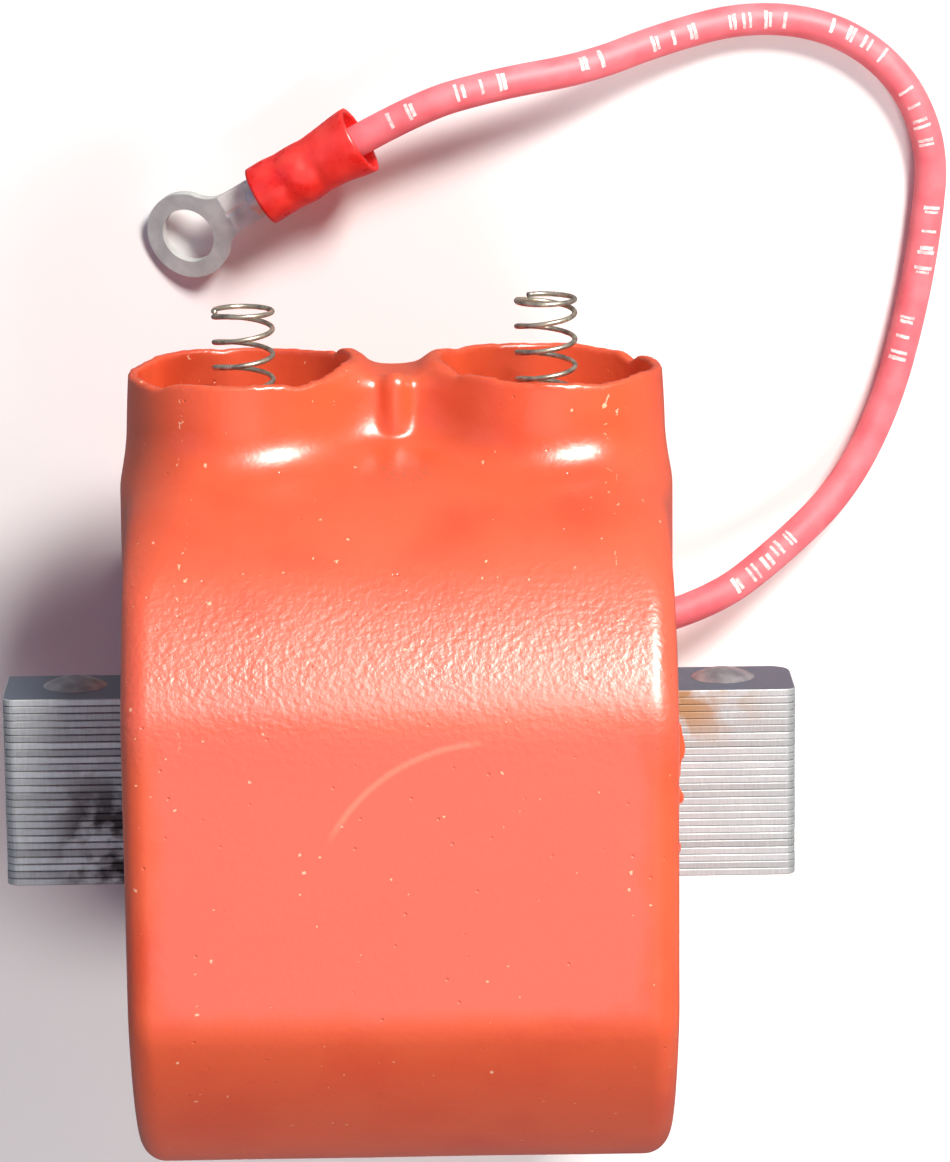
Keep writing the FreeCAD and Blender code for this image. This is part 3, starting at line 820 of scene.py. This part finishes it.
        count = sum(window(inside, c).astype(np.int8) for c in corners)
        cells = np.argwhere((count > 0) & (count < 8))
        ids = np.full(shape, -1, np.int64)
        ids[tuple(cells.T)] = np.arange(len(cells))
        total, hits = np.zeros((len(cells), 3)), np.zeros(len(cells))
        for a in corners:
            for axis in range(3):
                if a[axis]:
                    continue
                b = tuple(v + (i == axis) for i, v in enumerate(a))
                va = values[tuple((cells + a).T)]
                vb = values[tuple((cells + b).T)]
                cut = (va < 0) != (vb < 0)
                share = np.where(cut, va / np.where(cut, va - vb, 1), 0)
                spot = cells + np.array(a, float)
                spot[:, axis] += share
                total[cut] += spot[cut]
                hits += cut
        points = low + total / hits[:, None] * self.step
        faces = []
        for axis in range(3):
            others = [i for i in range(3) if i != axis]
            ends = [slice(None)] * 3
            ends[axis] = slice(0, -1)
            nexts = [slice(None)] * 3
            nexts[axis] = slice(1, None)
            first, second = inside[tuple(ends)], inside[tuple(nexts)]
            edges = np.argwhere(first != second)
            edges = edges[(edges[:, others[0]] > 0) & (edges[:, others[1]] > 0)]
            edges = edges[(edges[:, others[0]] < shape[others[0]]) & (edges[:, others[1]] < shape[others[1]])]
            ring = []
            for p, q in ((1, 1), (0, 1), (0, 0), (1, 0)):
                back = edges.copy()
                back[:, others[0]] -= p
                back[:, others[1]] -= q
                ring.append(ids[tuple(back.T)])
            quads = np.stack(ring, 1)
            flip = first[tuple(edges.T)] ^ (axis == 1)
            quads[~flip] = quads[~flip][:, ::-1]
            faces.append(quads)
        for _ in range(3):
            points = self.settle(points)
        return points, np.concatenate(faces)

    def settle(self, points: np.ndarray) -> np.ndarray:
        """Moves points onto the true surface along the field's slope."""
        eps = 0.02
        here = self.field(*points.T)
        slope = np.zeros_like(points)
        for axis in range(3):
            moved = points.copy()
            moved[:, axis] += eps
            slope[:, axis] = (self.field(*moved.T) - here) / eps
        size = np.maximum((slope**2).sum(1), 0.25)
        shift = np.clip(here / size, -self.step / 2, self.step / 2)
        return points - slope * shift[:, None]

    def build(self) -> bpy.types.Object:
        """Makes the casing's skin and dresses it."""
        points, faces = self.skin()
        piece = mesh_piece("casing_skin", points * MM, faces)
        dress(piece, MouldedPolyester().make(self.axis, self.pad_z))
        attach(piece, "coil")
        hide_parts("coil_casing")
        LOG.info("casing_skin: %d points", len(points))
        return piece


# ---------------------------------------------------------------- core


@dataclass
class Core:
    """The riveted stack: every sheet a little longer, shorter or lower than the next."""

    low: Vector
    high: Vector
    count: int = 26
    gap: float = 0.035
    front_r: float = 0.9
    edge: float = 0.075
    uneven: float = 0.035
    back_inset: float = 0.02
    back_left_r: float = 0.25
    back_right_r: float = 1.7

    def outline(self, x0: float, x1: float, z0: float, z1: float) -> list[tuple[float, float]]:
        """One sheet's outline in mm, going round, with rounded corners."""
        points = []
        for cx, cz, r, start in (
            (x1, z1, self.front_r, 0.0),
            (x0, z1, self.front_r, 0.5),
            (x0, z0, self.back_left_r, 1.0),
            (x1, z0, self.back_right_r, 1.5),
        ):
            mx = cx - r if cx == x1 else cx + r
            mz = cz - r if cz == z1 else cz + r
            for k in range(6):
                turn = math.pi * (start + 0.5 * k / 5)
                points.append((mx + r * math.cos(turn), mz + r * math.sin(turn)))
        return points

    def build(self) -> bpy.types.Object:
        """Makes the stack of sheets as one piece of separate closed sheets."""
        dice = random.Random(11)
        points, faces = [], []
        low, high = self.low / MM, self.high / MM
        pitch = (high.y - low.y) / self.count
        for i in range(self.count):
            nudge = [dice.uniform(-self.uneven, self.uneven) for _ in range(3)]
            line = self.outline(
                low.x + abs(nudge[0]), high.x - abs(nudge[1]), low.z + self.back_inset, high.z - abs(nudge[2])
            )
            y0 = low.y + i * pitch + self.gap / 2
            y1 = low.y + (i + 1) * pitch - self.gap / 2
            mx, mz = (low.x + high.x) / 2, (low.z + high.z) / 2
            base = len(points)
            rings = ((y0, self.edge), (y0 + self.edge, 0.0), (y1 - self.edge, 0.0), (y1, self.edge))
            for y, inset in rings:
                for px, pz in line:
                    sx = inset if px < mx else -inset
                    sz = inset if pz < mz else -inset
                    points.append(mm(px + sx, y, pz + sz))
            n = len(line)
            for ring in range(3):
                for k in range(n):
                    a, b = base + ring * n + k, base + ring * n + (k + 1) % n
                    faces.append((a, a + n, b + n, b))
            faces.append(tuple(base + k for k in range(n)))
            faces.append(tuple(base + 3 * n + k for k in reversed(range(n))))
        piece = mesh_piece("lamination_stack", points, faces, smooth=False)
        dress(piece, PunchedSteel().make((high.y - low.y) / 2))
        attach(piece, "coil")
        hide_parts("core_laminations")
        LOG.info("lamination_stack: %d sheets", self.count)
        return piece


# ---------------------------------------------------------------- contact springs


@dataclass
class ContactSpring:
    """A right-handed compression spring with its end turns closed."""

    side: Side
    joint: dict
    low: Vector
    high: Vector
    finish: bpy.types.Material
    wire_r: float = 0.22
    turns: float = 8.7
    closed: float = 0.9
    per_turn: int = 36
    sides: int = 12

    def height_at(self, share: float) -> float:
        """How far up the coil is, from 0 to 1, at a share of its turns: the end turns lie flat."""
        span = self.closed / self.turns
        tight = 0.09 * span / (1 - 2 * span)
        if share < span:
            return tight * share / span
        if share > 1 - span:
            return 1 - tight * (1 - share) / span
        return tight + (1 - 2 * tight) * (share - span) / (1 - 2 * span)

    def build(self) -> bpy.types.Object:
        """Makes the spring, which follows its body and fills its part's box."""
        name = self.side.name.lower()
        wire = self.wire_r * MM
        centre = (self.low + self.high) / 2
        coil_r = (self.high.x - self.low.x) / 2 - wire
        bottom, top = self.low.y + wire, self.high.y - wire
        count = int(self.turns * self.per_turn)
        line = []
        for i in range(count + 1):
            share = i / count
            turn = -2 * math.pi * self.turns * share + (0.9 if self.side is Side.LEFT else 2.2)
            y = bottom + (top - bottom) * self.height_at(share)
            line.append(Vector((centre.x + coil_r * math.cos(turn), y, centre.z + coil_r * math.sin(turn))))
        points, faces = tube_rings(line, lambda _share: wire, self.sides)
        piece = mesh_piece(f"{name}_spring_wire", points, faces)
        dress(piece, self.finish)
        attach(piece, f"{name}_spring")
        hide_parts(f"{name}_contact_spring")
        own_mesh(piece)
        return piece


# ---------------------------------------------------------------- lead and terminal

LEAD_ROUTE = [
    (22.7, 8.1, 6.6),
    (28.3, 9.55, 6.3),
    (34.3, 13.75, 4.9),
    (40.5, 19.25, 3.0),
    (44.5, 26.75, 1.7),
    (46.8, 35.35, 1.45),
    (48.1, 43.05, 1.45),
    (48.7, 50.35, 1.45),
    (45.7, 57.05, 1.45),
    (39.7, 61.35, 1.45),
    (32.1, 62.35, 1.5),
    (24.5, 60.65, 2.9),
    (17.3, 58.25, 5.2),
    (9.5, 57.25, 7.2),
    (1.8, 55.25, 8.0),
    (-5.9, 50.65, 6.8),
]
SLEEVE_REAR = (-2.83, 52.48, 7.3)
SLEEVE_FRONT = (-11.48, 47.37, 5.9)


@dataclass
class Lead:
    """The free low-tension lead, with the worn marks printed along it."""

    route: list
    diameter: float = 2.85
    length: float = 116.9
    ink_mm: float = 0.012
    # Where each group of marks lies along the lead, and how many marks it has.
    groups: tuple = (
        (0.075, 3), (0.115, 2), (0.30, 3), (0.37, 4), (0.47, 4), (0.545, 4),
        (0.625, 4), (0.70, 3), (0.775, 2), (0.855, 3), (0.925, 2),
    )

    def build(self) -> bpy.types.Object:
        """Makes the lead as one smooth spline on the route's points."""
        curve = bpy.data.curves.new("lead", "CURVE")
        curve.dimensions = "3D"
        curve.resolution_u = 24
        spline = curve.splines.new("NURBS")
        spline.points.add(len(self.route) - 1)
        for point, place in zip(spline.points, self.route):
            point.co = (*mm(*place), 1.0)
            point.radius = self.diameter / 2 * MM
        spline.order_u = 3
        spline.use_endpoint_u = True
        curve.bevel_depth = 1.0
        curve.bevel_resolution = 8
        curve.use_fill_caps = True
        lead = bpy.data.objects.new("lead", curve)
        bpy.context.scene.collection.objects.link(lead)
        dress(lead, SoftVinyl("pvc_lead", "#EE7C85", "#E66873", 0.5, 0.12).make())
        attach(lead, "coil")
        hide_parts("lead_wire")
        return lead

    def centre_line(self, lead: bpy.types.Object) -> list[Vector]:
        """The spline's own points, read with its roundness taken off."""
        depth = lead.data.bevel_depth
        lead.data.bevel_depth = 0.0
        bpy.context.view_layer.update()
        shape = bpy.data.meshes.new_from_object(lead.evaluated_get(bpy.context.evaluated_depsgraph_get()))
        line = [v.co.copy() for v in shape.vertices]
        bpy.data.meshes.remove(shape)
        lead.data.bevel_depth = depth
        bpy.context.view_layer.update()
        return line

    def marks(self, line: list[Vector]) -> bpy.types.Object:
        """Worn generic strokes of print, laid on the lead's surface: they spell nothing."""
        dice = random.Random(5)
        points, faces = [], []
        reach = [0.0]
        for a, b in zip(line, line[1:]):
            reach.append(reach[-1] + (b - a).length)
        radius = (self.diameter / 2 + self.ink_mm) * MM
        facing = Vector((0, 0.22, 0.97))

        def spot(along: float, turn: float) -> Vector:
            """A point on the lead's surface, a distance along it and an angle round it."""
            i = min(int(np.searchsorted(reach, along)), len(line) - 1)
            i = max(i, 1)
            share = (along - reach[i - 1]) / (reach[i] - reach[i - 1])
            centre = line[i - 1].lerp(line[i], share)
            ahead = (line[i] - line[i - 1]).normalized()
            up = (facing - ahead * ahead.dot(facing)).normalized()
            side = ahead.cross(up)
            return centre + (up * math.cos(turn) + side * math.sin(turn)) * radius

        for share, count in self.groups:
            start = share * reach[-1]
            lean = dice.uniform(-0.25, 0.25)
            for k in range(count):
                middle = start + k * dice.uniform(1.6, 1.85) * MM
                strokes = dice.choice(((0.0,), (-0.3, 0.3), (-0.32, 0.08)))
                for offset in strokes:
                    half_long = dice.uniform(0.12, 0.2) * MM
                    half_turn = dice.uniform(0.42, 0.62)
                    at = middle + offset * MM
                    base = len(points)
                    for i in range(3):
                        for j in range(7):
                            fray = dice.uniform(0.75, 1.1)
                            along = at + (i - 1) * half_long * fray
                            turn = lean + (j / 3 - 1) * half_turn * dice.uniform(0.94, 1.04)
                            points.append(spot(along, turn))
                    for i in range(2):
                        for j in range(6):
                            a = base + i * 7 + j
                            faces.append((a, a + 7, a + 8, a + 1))
        piece = mesh_piece("lead_marks", points, faces)
        dress(piece, PlainMetal("worn_white_ink", "#F3EDEA", "#E9A9AC", 0.0, 0.5, 0.7, 0.5).make())
        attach(piece, "coil")
        return piece


@dataclass
class Terminal:
    """The vinyl sleeve of the crimped ring, flared at its open end and dented by the crimp."""

    rear: Vector
    front: Vector
    length: float = 10.3
    radius: float = 2.75
    mouth: float = 3.15
    wall: float = 0.4
    flare: float = 3.6
    bore: float = 1.66
    around: int = 48
    steps: int = 40

    def outer(self, s: float, turn: float) -> float:
        """The sleeve's outer radius in mm, a distance along it and an angle round it."""
        r = self.radius
        if s < self.flare:
            share = 1 - s / self.flare
            r += (self.mouth - self.radius) * share * share * (3 - 2 * share)
        for centre, width, depth in ((4.6, 0.9, 0.30), (7.6, 0.8, 0.22)):
            dent = math.exp(-(((s - centre) / width) ** 2))
            r -= depth * dent * (0.35 + 0.65 * math.cos(turn) ** 2)
        return r + 0.04 * math.sin(3 * turn + s)

    def build(self) -> bpy.types.Object:
        """Makes the sleeve as one closed thin wall."""
        ahead = (self.front - self.rear).normalized()
        up = (Vector((0, 0, 1)) - ahead * ahead.z).normalized()
        side = ahead.cross(up)
        points, faces = [], []
        stations = [self.length * i / self.steps for i in range(self.steps + 1)]

        def ring(s: float, shrink: float) -> None:
            """Adds one ring of points."""
            for k in range(self.around):
                turn = 2 * math.pi * k / self.around
                r = max(self.outer(s, turn) - shrink, self.bore)
                outward = up * math.cos(turn) + side * math.sin(turn)
                points.append(self.rear + (ahead * s + outward * r) * MM)

        for s in stations:
            ring(s, 0.0)
        ring(self.length, 0.12)
        for s in reversed(stations):
            thick = self.wall if s < self.flare else self.radius
            ring(s, thick)
        ring(0.0, self.wall * 0.4)
        rings, n = len(points) // self.around, self.around
        for i in range(rings):
            for k in range(n):
                a, b = i * n + k, i * n + (k + 1) % n
                c, d = ((i + 1) % rings) * n + (k + 1) % n, ((i + 1) % rings) * n + k
                faces.append((a, d, c, b))
        piece = mesh_piece("terminal_sleeve_skin", points, faces)
        dress(piece, SoftVinyl("clear_red_vinyl", "#F4423A", "#E02622", 0.24, 0.35, 2.0).make())
        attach(piece, "coil")
        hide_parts("terminal_sleeve")
        return piece


# ---------------------------------------------------------------- studio


@dataclass
class Studio:
    """A plain pale table, soft light and the camera: places in mm, angles in degrees."""

    axis: float
    distance: float = 450.08
    azimuth: float = -0.904
    elevation: float = 12.638
    roll: float = -0.588
    lens: float = 163.58
    target: tuple = (6.575, 18.038, 4.0)
    table_half_m: float = 3.0
    cloud_mm: float = 60.0
    sky_light: float = 0.15
    sky_seen: float = 0.95

    def table(self) -> None:
        """The table that the coil lies on."""
        half = self.table_half_m
        corners = [(-half, -half, 0), (half, -half, 0), (half, half, 0), (-half, half, 0)]
        floor = mesh_piece("table", corners, [(0, 1, 2, 3)])
        material, tree, shader, place = new_material("pale_table")
        tone = add(tree, "ShaderNodeTexNoise", {"Vector": place, "Scale": 1 / self.cloud_mm, "Detail": 2.0})
        colour = add(
            tree,
            "ShaderNodeMix",
            {0: tone.outputs[0], 6: linear("#F4F4F5"), 7: linear("#FAFAFB")},
            data_type="RGBA",
        )
        tree.links.new(colour.outputs[2], shader.inputs["Base Color"])
        shader.inputs["Roughness"].default_value = 0.9
        dress(floor, material)
        # Polished sides would mirror the white table and lose their colour.
        floor.visible_glossy = False

    def lamp(
        self, name: str, place: tuple, aim: tuple, size: float, power: float, colour: str
    ) -> bpy.types.Object:
        """One square soft light.

        Args:
            name: Its name.
            place: Where it stands, mm.
            aim: What it points at, mm.
            size: Its side, mm.
            power: Its power, W.
            colour: Its sRGB colour.

        Returns:
            The light.
        """
        data = bpy.data.lights.new(name, "AREA")
        data.size = size * MM
        data.energy = power
        data.color = linear(colour)[:3]
        light = bpy.data.objects.new(name, data)
        light.location = mm(*place)
        light.rotation_mode = "QUATERNION"
        light.rotation_quaternion = (mm(*aim) - light.location).to_track_quat("-Z", "Y")
        bpy.context.scene.collection.objects.link(light)
        return light

    def lights(self) -> None:
        """Five lamps and a pale sky.

        The key and its glint stand behind the sockets on the right, and a weak cool fill on
        the left. One lamp stands in front. The glint and the sky card are seen only as gloss.
        """
        aim = (5, 15, 25)
        self.lamp("key", (235, 450, 440), aim, 165, 5.6, "#FFF9F2")
        self.lamp("fill", (-420, 200, 330), aim, 420, 0.2, "#8F9CFF")
        front = self.lamp("front", (190, -260, 520), aim, 260, 2.2, "#FFFAF4")
        front.visible_glossy = False
        glint = self.lamp("glint", (235, 450, 440), aim, 190, 5.5, "#FFFDF8")
        glint.visible_diffuse = False
        sky = self.lamp("sky_card", (-30, -160, 640), aim, 420, 0.65, "#EAF1FF")
        sky.visible_diffuse = False
        world = bpy.data.worlds.new("sky")
        world.use_nodes = True
        shade = world.node_tree.nodes["Background"]
        shade.inputs["Color"].default_value = linear("#EEF3FF")
        # The sky lights the coil dimly but looks pale behind it.
        tree = world.node_tree
        seen = add(tree, "ShaderNodeLightPath").outputs["Is Camera Ray"]
        level = add(tree, "ShaderNodeMapRange", {0: seen, 3: self.sky_light, 4: self.sky_seen})
        tree.links.new(level.outputs[0], shade.inputs["Strength"])
        bpy.context.scene.world = world
        bpy.context.scene.view_settings.view_transform = "Standard"

    def camera(self) -> None:
        """The camera, looking down at the coil from a little towards its sockets."""
        x, y, above_axis = self.target
        target = mm(x, y, self.axis + above_axis)
        az, el = math.radians(self.azimuth), math.radians(self.elevation)
        back = Vector((math.sin(az) * math.cos(el), math.sin(el), math.cos(az) * math.cos(el)))
        right = Vector((0, 1, 0)).cross(back).normalized()
        up = back.cross(right)
        data = bpy.data.cameras.new("camera")
        data.lens = self.lens
        data.sensor_width = 36.0
        data.clip_start, data.clip_end = 0.01, 20.0
        camera = bpy.data.objects.new("camera", data)
        turned = Matrix((right, up, back)).transposed() @ Matrix.Rotation(math.radians(self.roll), 3, "Z")
        camera.matrix_world = Matrix.Translation(target + back * self.distance * MM) @ turned.to_4x4()
        bpy.context.scene.collection.objects.link(camera)
        bpy.context.scene.camera = camera


# ---------------------------------------------------------------- the whole coil


def dress_kept_nodes() -> None:
    """Gives every CAD node that stays its own finish."""
    finishes = {
        "rivet_steel": PlainMetal("headed_steel", "#A3A5AA", "#7C7F86", 0.4, 0.36, 0.5).make(),
        "contact_brass": PlainMetal("stamped_brass", "#C9A35A", "#7A5A2C", 0.95, 0.3, 0.5).make(),
        "tinned_copper": PlainMetal("tin_plate", "#ECEEEC", "#CDD0CE", 0.35, 0.36, 0.52, 1.8).make(),
        "former_board": PlainMetal("phenolic_board", "#7A4A28", "#5A331A", 0.0, 0.45, 0.6).make(),
        "enamelled_copper": PlainMetal("enamelled_wire", "#A8532A", "#7C3517", 0.6, 0.25, 0.4).make(),
        "insulating_paper": PlainMetal("varnished_paper", "#C9B07A", "#A58A55", 0.0, 0.5, 0.7).make(),
        "lead_insulation": SoftVinyl("pvc_lead_inner", "#F58D95", "#EE7782", 0.34, 0.1).make(),
    }
    for row in frame["record"]["subparts"]:
        piece = frame["nodes"][row["node"]]
        if not piece.hide_render and row["material_slot"] in finishes:
            dress(piece, finishes[row["material_slot"]])
            LOG.info("%s: dressed", row["node"])


def socket_centre() -> tuple[float, float]:
    """How far the sockets stand from the middle and how high their rims are, in mm."""
    mount = next(m for m in frame["record"]["mounts"] if m["name"] == "right_lead_socket")
    return mount["pos_m"][0] / MM, mount["pos_m"][1] / MM


def main() -> None:
    """Builds the coil, its lead and the studio round it."""
    logging.basicConfig(level=logging.INFO)
    core_low, core_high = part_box("core_laminations")
    case_low, case_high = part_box("coil_casing")
    axis = (core_low.z + core_high.z) / 2 / MM
    pad_z = case_high.z / MM
    socket_x, rim_y = socket_centre()
    bottom = case_low.y / MM
    studio = Studio(axis)
    studio.table()
    studio.lights()
    studio.camera()

    Casing(
        axis=axis, pad_z=pad_z, half_width=22.7, radius=Casing.sink - bottom,
        socket_x=socket_x, socket_r=9.05, floor_y=25.1, rim_y=rim_y,
    ).build()
    Core(core_low, core_high).build()

    wire = PlainMetal("spring_wire", "#CFC9B4", "#86847C", 0.7, 0.26, 0.42, 0.9).make()
    joints = {j["name"]: j for j in frame["joints"]}
    for side in Side:
        name = side.name.lower()
        low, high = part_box(f"{name}_contact_spring")
        ContactSpring(side, joints[f"{name}_spring_press"], low, high, wire).build()

    maker = Lead(LEAD_ROUTE)
    lead = maker.build()
    marks = maker.marks(maker.centre_line(lead))
    sleeve = Terminal(mm(*SLEEVE_REAR), mm(*SLEEVE_FRONT)).build()
    dress_kept_nodes()


if __name__ == "__main__":
    main()
